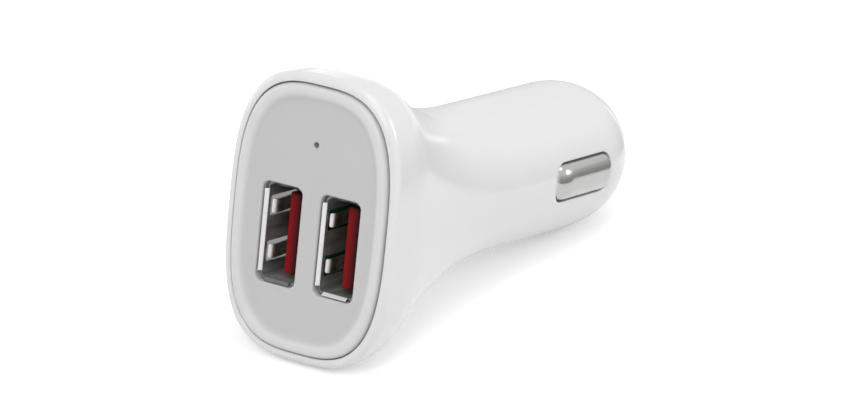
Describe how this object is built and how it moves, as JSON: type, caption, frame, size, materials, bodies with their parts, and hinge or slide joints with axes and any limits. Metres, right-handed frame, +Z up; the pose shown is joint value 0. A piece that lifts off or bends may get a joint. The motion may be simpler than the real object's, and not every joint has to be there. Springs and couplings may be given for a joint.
{
  "type": "car usb charger plug",
  "caption": "Vehicle socket plug with a square-rounded head, a flared neck, upright USB charging sockets, sprung side contacts and a sprung tip.",
  "frame": {"origin": "on the plug's axis, in the plane of the flat face round the USB openings", "axes": "+Y along the plug's axis from the face to the tip, +Z up along the head's longer side, +X to the right seen from in front"},
  "size_m": [0.0262, 0.0751, 0.0388],
  "materials": {
    "white_plastic": "glossy white moulded plastic",
    "grey_plastic": "satin light grey moulded plastic",
    "board_laminate": "green solder mask on glass laminate",
    "shell_steel": "nickel plated folded sheet",
    "red_plastic": "dark red moulded plastic",
    "contact_gold": "gold flashed spring strip",
    "black_resin": "black moulding resin",
    "ferrite": "dark ferrite",
    "can_aluminium": "drawn aluminium can",
    "fuse_body": "buff coated fuse",
    "lamp_resin": "clear lamp resin, pale blue",
    "resistor_ceramic": "coated ceramic chips",
    "nickel_plate": "bright nickel plated steel",
    "spring_steel": "plain spring steel",
    "terminal_brass": "plain brass strip"
  },
  "bodies": {
    "plug": {"housing": "white_plastic", "face_plate": "grey_plastic", "circuit_board": "board_laminate", "usb_shell_left": "shell_steel", "usb_shell_right": "shell_steel", "usb_insulator_left": "red_plastic", "usb_insulator_right": "red_plastic", "usb_contact_left_1": "contact_gold", "usb_contact_left_2": "contact_gold", "usb_contact_left_3": "contact_gold", "usb_contact_left_4": "contact_gold", "usb_contact_right_1": "contact_gold", "usb_contact_right_2": "contact_gold", "usb_contact_right_3": "contact_gold", "usb_contact_right_4": "contact_gold", "converter_chip": "black_resin", "inductor": "ferrite", "input_capacitor": "can_aluminium", "output_capacitor": "can_aluminium", "rectifier_diode": "black_resin", "fuse": "fuse_body", "status_led": "lamp_resin", "chip_resistors": "resistor_ceramic", "tip_spring": "spring_steel", "tip_terminal": "terminal_brass", "side_spring_left": "spring_steel", "side_spring_right": "spring_steel"},
    "tip": {"tip_contact": "nickel_plate"},
    "left_shoe": {"side_contact_left": "nickel_plate"},
    "right_shoe": {"side_contact_right": "nickel_plate"}
  },
  "joints": [
    {"name": "tip_press", "type": "slide", "parent": "plug", "child": "tip", "axis": [0, -1, 0], "range_m": [0, 0.003], "stiffness_N_per_m": 1200, "springref_m": -0.002, "deforming": ["tip_spring"]},
    {"name": "left_side_press", "type": "slide", "parent": "plug", "child": "left_shoe", "axis": [1, 0, 0], "range_m": [0, 0.0012], "stiffness_N_per_m": 2000, "springref_m": -0.001, "deforming": ["side_spring_left"]},
    {"name": "right_side_press", "type": "slide", "parent": "plug", "child": "right_shoe", "axis": [-1, 0, 0], "range_m": [0, 0.0012], "stiffness_N_per_m": 2000, "springref_m": -0.001, "deforming": ["side_spring_right"]}
  ]
}
